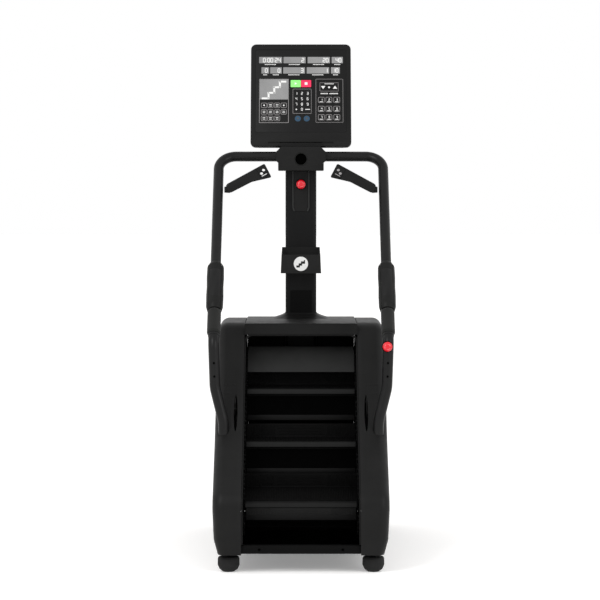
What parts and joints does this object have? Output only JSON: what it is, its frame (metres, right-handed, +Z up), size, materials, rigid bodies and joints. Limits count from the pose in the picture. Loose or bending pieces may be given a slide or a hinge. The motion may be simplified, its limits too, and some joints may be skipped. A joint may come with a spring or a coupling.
{
  "type": "stair climber",
  "caption": "Step mill gym machine: revolving staircase between side shrouds, mast with tilted console, wrap-around handrails, grips, control arms and stop buttons.",
  "frame": {"origin": "middle of the footprint on the floor", "axes": "+Z up; the user climbs on from -Y and faces +Y, where the console is; +X is the user's right"},
  "size_m": [0.786, 1.42, 2.161],
  "materials": {
    "painted_steel": "satin black powder coat",
    "bare_steel": "machined",
    "step_casting": "ribbed satin black",
    "rubber": "matte",
    "foam_grip": "soft matte foam",
    "red_plastic": "gloss",
    "green_plastic": "gloss",
    "display": "gloss overlay",
    "black_plastic": "fine textured satin"
  },
  "bodies": {
    "root": {"bottle_holder": "black_plastic", "console_bezel": "black_plastic", "console_housing": "black_plastic", "console_hub": "black_plastic", "console_overlay": "display", "control_arm_left": "black_plastic", "control_arm_right": "black_plastic", "controller_box": "black_plastic", "drive_belt": "rubber", "foam_sleeve_left": "foam_grip", "foam_sleeve_right": "foam_grip", "front_cover": "black_plastic", "front_crossbar": "painted_steel", "handrail_left": "painted_steel", "handrail_right": "painted_steel", "inner_skirt_left": "black_plastic", "inner_skirt_right": "black_plastic", "lower_post_left": "painted_steel", "lower_post_right": "painted_steel", "mast": "painted_steel", "mast_collar": "black_plastic", "mast_crossmember": "painted_steel", "mast_stop_collar": "black_plastic", "post_stop_collar": "black_plastic", "power_inlet": "black_plastic", "pulse_grip_left": "black_plastic", "pulse_grip_right": "black_plastic", "rear_crossbar": "painted_steel", "side_frame_left": "painted_steel", "side_frame_right": "painted_steel", "side_shroud_left": "black_plastic", "side_shroud_right": "black_plastic", "step_chain_left": "bare_steel", "step_chain_right": "bare_steel", "stop_housing": "black_plastic", "top_cover": "black_plastic", "transport_axle": "bare_steel"},
    "drive_shaft": {"upper_sprocket_shaft": "bare_steel", "drive_pulley": "black_plastic"},
    "idler_shaft": {"lower_sprocket_shaft": "bare_steel"},
    "brake": {"brake_rotor": "bare_steel"},
    "step_1": {"step_1": "step_casting"},
    "step_2": {"step_2": "step_casting"},
    "step_3": {"step_3": "step_casting"},
    "step_4": {"step_4": "step_casting"},
    "return_step_1": {"return_step_1": "step_casting"},
    "return_step_2": {"return_step_2": "step_casting"},
    "return_step_3": {"return_step_3": "step_casting"},
    "mast_stop": {"mast_stop_button": "red_plastic"},
    "post_stop": {"post_stop_button": "red_plastic"},
    "start_key": {"start_key": "green_plastic"},
    "stop_key": {"stop_key": "red_plastic"},
    "arm_key_left": {"arm_key_left": "black_plastic"},
    "arm_key_right": {"arm_key_right": "black_plastic"},
    "foot_rear_left": {"foot_rear_left": "rubber"},
    "foot_rear_right": {"foot_rear_right": "rubber"},
    "foot_front_left": {"foot_front_left": "rubber"},
    "foot_front_right": {"foot_front_right": "rubber"},
    "wheel_left": {"transport_wheel_left": "rubber"},
    "wheel_right": {"transport_wheel_right": "rubber"}
  },
  "joints": [
    {"name": "drive_turn", "type": "hinge", "parent": "root", "child": "drive_shaft", "pos_m": [0, 0.05777, 0.73523], "axis": [1, 0, 0], "range_deg": [-4, 8]},
    {"name": "idler_turn", "type": "hinge", "parent": "root", "child": "idler_shaft", "pos_m": [0, -0.47503, 0.20243], "axis": [1, 0, 0], "range_deg": [-4.05, 8.05]},
    {"name": "brake_turn", "type": "hinge", "parent": "root", "child": "brake", "pos_m": [0.31, 0.36, 0.4], "axis": [1, 0, 0], "range_deg": [-20.3, 40.3]},
    {"name": "step_1_turn", "type": "hinge", "parent": "root", "child": "step_1", "pos_m": [0, -0.47503, 0.20243], "axis": [1, 0, 0], "range_deg": [-4.05, 8.05]},
    {"name": "step_2_travel", "type": "slide", "parent": "root", "child": "step_2", "axis": [0, -0.7071, -0.7071], "range_m": [-0.0053, 0.0106]},
    {"name": "step_3_travel", "type": "slide", "parent": "root", "child": "step_3", "axis": [0, -0.7071, -0.7071], "range_m": [-0.0053, 0.0106]},
    {"name": "step_4_turn", "type": "hinge", "parent": "root", "child": "step_4", "pos_m": [0, 0.05777, 0.73523], "axis": [1, 0, 0], "range_deg": [-4.05, 8.05]},
    {"name": "return_step_1_travel", "type": "slide", "parent": "root", "child": "return_step_1", "axis": [0, 0.7071, 0.7071], "range_m": [-0.0053, 0.0106]},
    {"name": "return_step_2_travel", "type": "slide", "parent": "root", "child": "return_step_2", "axis": [0, 0.7071, 0.7071], "range_m": [-0.0053, 0.0106]},
    {"name": "return_step_3_travel", "type": "slide", "parent": "root", "child": "return_step_3", "axis": [0, 0.7071, 0.7071], "range_m": [-0.0053, 0.0106]},
    {"name": "mast_stop_push", "type": "slide", "parent": "root", "child": "mast_stop", "axis": [0, 1, 0], "range_m": [0, 0.005]},
    {"name": "post_stop_push", "type": "slide", "parent": "root", "child": "post_stop", "axis": [0, 1, 0], "range_m": [0, 0.005]},
    {"name": "start_key_press", "type": "slide", "parent": "root", "child": "start_key", "axis": [0, 0.9397, -0.342], "range_m": [0, 0.001], "stiffness_N_per_m": 600},
    {"name": "stop_key_press", "type": "slide", "parent": "root", "child": "stop_key", "axis": [0, 0.9397, -0.342], "range_m": [0, 0.001], "stiffness_N_per_m": 600},
    {"name": "arm_key_left_press", "type": "slide", "parent": "root", "child": "arm_key_left", "axis": [0, 1, 0], "range_m": [0, 0.001], "stiffness_N_per_m": 600},
    {"name": "arm_key_right_press", "type": "slide", "parent": "root", "child": "arm_key_right", "axis": [0, 1, 0], "range_m": [0, 0.001], "stiffness_N_per_m": 600},
    {"name": "foot_rear_left_screw", "type": "hinge", "parent": "root", "child": "foot_rear_left", "pos_m": [-0.289, -0.625, 0], "axis": [0, 0, 1], "continuous": true},
    {"name": "foot_front_left_screw", "type": "hinge", "parent": "root", "child": "foot_front_left", "pos_m": [-0.289, 0.53, 0], "axis": [0, 0, 1], "continuous": true},
    {"name": "wheel_left_roll", "type": "hinge", "parent": "root", "child": "wheel_left", "pos_m": [-0.205, 0.655, 0.055], "axis": [1, 0, 0], "continuous": true},
    {"name": "foot_rear_right_screw", "type": "hinge", "parent": "root", "child": "foot_rear_right", "pos_m": [0.289, -0.625, 0], "axis": [0, 0, 1], "continuous": true},
    {"name": "foot_front_right_screw", "type": "hinge", "parent": "root", "child": "foot_front_right", "pos_m": [0.289, 0.53, 0], "axis": [0, 0, 1], "continuous": true},
    {"name": "wheel_right_roll", "type": "hinge", "parent": "root", "child": "wheel_right", "pos_m": [0.205, 0.655, 0.055], "axis": [1, 0, 0], "continuous": true}
  ],
  "couplings": [
    {"joint": "idler_turn", "follows": "drive_turn", "ratio": 1},
    {"joint": "step_1_turn", "follows": "drive_turn", "ratio": 1},
    {"joint": "step_4_turn", "follows": "drive_turn", "ratio": 1},
    {"joint": "brake_turn", "follows": "drive_turn", "ratio": 5},
    {"joint": "step_2_travel", "follows": "drive_turn", "m_per_rad": 0.0755},
    {"joint": "step_3_travel", "follows": "drive_turn", "m_per_rad": 0.0755},
    {"joint": "return_step_1_travel", "follows": "drive_turn", "m_per_rad": 0.0755},
    {"joint": "return_step_2_travel", "follows": "drive_turn", "m_per_rad": 0.0755},
    {"joint": "return_step_3_travel", "follows": "drive_turn", "m_per_rad": 0.0755}
  ]
}
